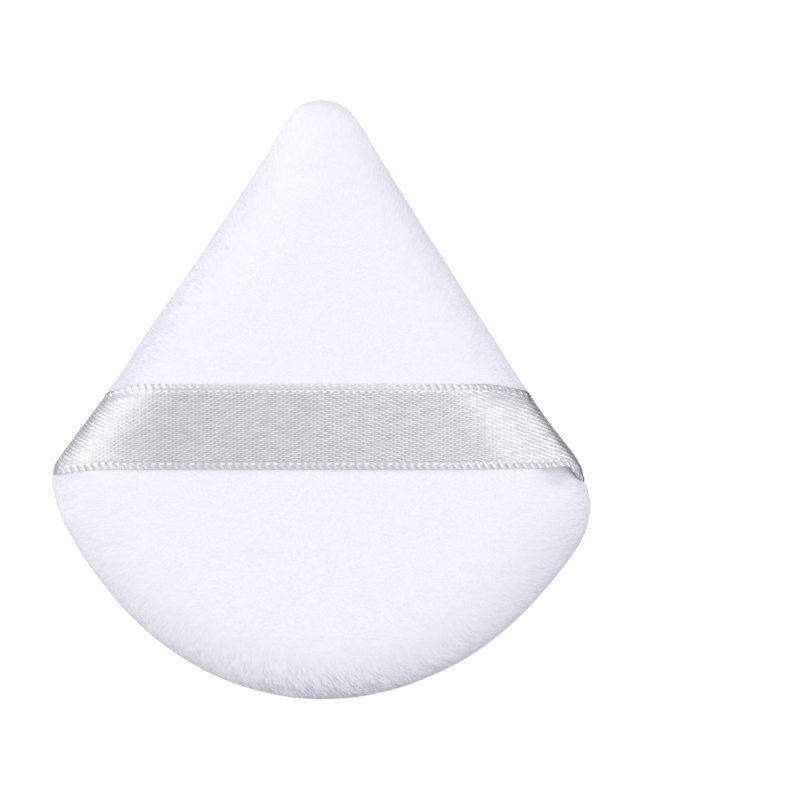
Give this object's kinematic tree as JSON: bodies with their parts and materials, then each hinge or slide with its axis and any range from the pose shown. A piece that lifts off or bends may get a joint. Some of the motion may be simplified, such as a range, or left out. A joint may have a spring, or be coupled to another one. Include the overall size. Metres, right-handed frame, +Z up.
{
  "type": "powder puff",
  "caption": "Soft rounded-triangle velour puff on a foam core, with a satin ribbon across its back that lifts to let the fingers under, for pressing on loose powder.",
  "frame": {"origin": "on the resting plane, under the middle of the puff's bounding box", "axes": "+Z up out of the ribbon side, +Y towards the tip of the triangle, +X along the ribbon to the right as seen from the ribbon side with the tip up"},
  "size_m": [0.0631, 0.0696, 0.0128],
  "materials": {
    "velour": "short white velour pile",
    "satin_ribbon": "silver-grey woven satin with picot edges",
    "foam": "open-cell sponge",
    "thread": "spun sewing thread"
  },
  "bodies": {
    "pad": {"strap_side_cover": "velour", "powder_side_cover": "velour", "foam_core": "foam", "seam_needle_thread": "thread", "seam_bobbin_thread": "thread", "closing_thread": "thread", "left_ribbon_tack": "thread", "right_ribbon_tack": "thread", "ribbon_left_end": "satin_ribbon", "ribbon_right_end": "satin_ribbon"},
    "span": {"ribbon_span": "satin_ribbon"},
    "left_leg": {"ribbon_left_leg": "satin_ribbon"},
    "right_leg": {"ribbon_right_leg": "satin_ribbon"}
  },
  "joints": [
    {"name": "ribbon_lift", "type": "slide", "parent": "pad", "child": "span", "axis": [0, 0, 1], "range_m": [0, 0.006], "stiffness_N_per_m": 20},
    {"name": "left_leg_flex", "type": "hinge", "parent": "pad", "child": "left_leg", "pos_m": [-0.0202, -0.00322, 0.0122], "axis": [-0.5639, -0.8258, 0], "range_deg": [0, 29.5]},
    {"name": "right_leg_flex", "type": "hinge", "parent": "pad", "child": "right_leg", "pos_m": [0.01923, -0.00322, 0.0122], "axis": [-0.5595, 0.8288, 0], "range_deg": [0, 29.5]}
  ],
  "couplings": [
    {"joint": "left_leg_flex", "follows": "ribbon_lift", "rad_per_m": 84.8},
    {"joint": "right_leg_flex", "follows": "ribbon_lift", "rad_per_m": 84.8}
  ]
}
